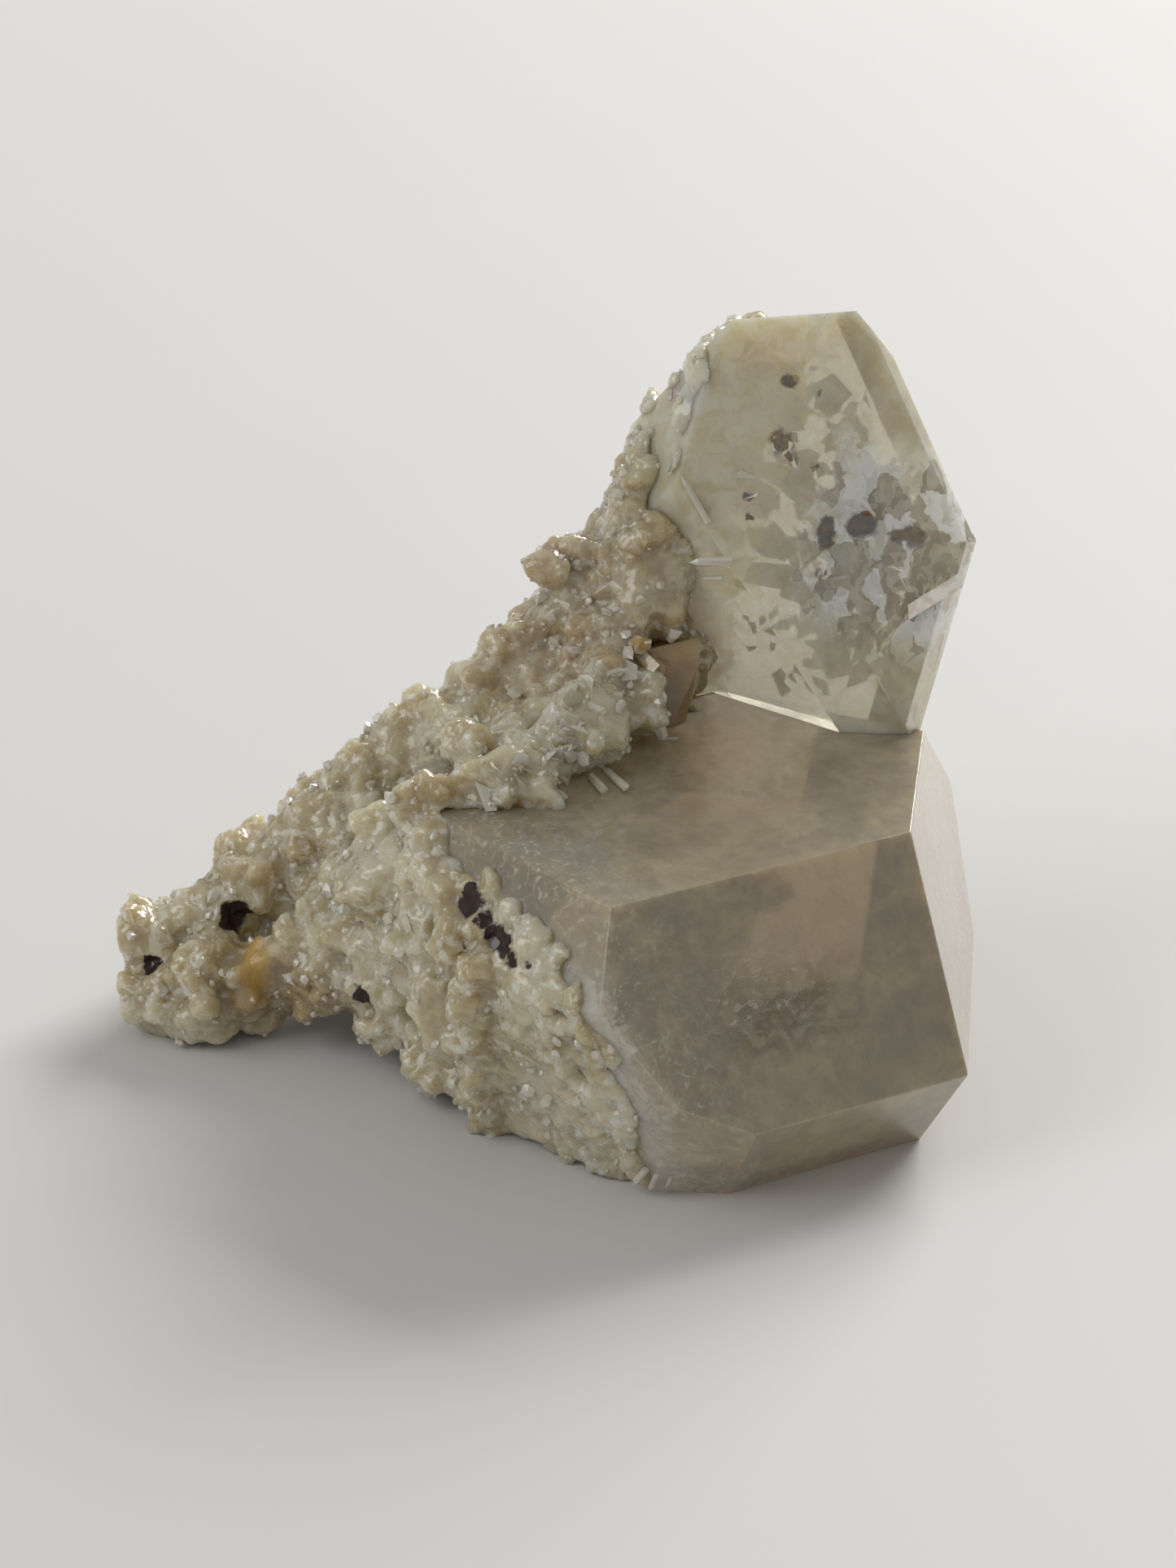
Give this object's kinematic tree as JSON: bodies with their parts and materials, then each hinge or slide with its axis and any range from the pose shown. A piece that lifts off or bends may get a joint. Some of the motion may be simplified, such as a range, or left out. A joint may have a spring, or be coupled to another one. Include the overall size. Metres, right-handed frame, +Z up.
{
  "type": "quartz crystal",
  "caption": "Cluster of grown-together smoky quartz crystals with a rough drusy arm, resting on one flat face as a mineral specimen",
  "frame": {"origin": "middle of the whole cluster's plan, on the surface it rests on", "axes": "+X towards the flat end of the lying crystal, away from the drusy toe; +Y towards the back; +Z up"},
  "size_m": [0.0704, 0.0562, 0.058],
  "materials": {
    "quartz": "clear to milky smoky quartz, glossy flat faces, frosted drusy crust with dark iron oxide in its pits"
  },
  "bodies": {
    "root": {"quartz_cluster": "quartz"}
  },
  "joints": []
}
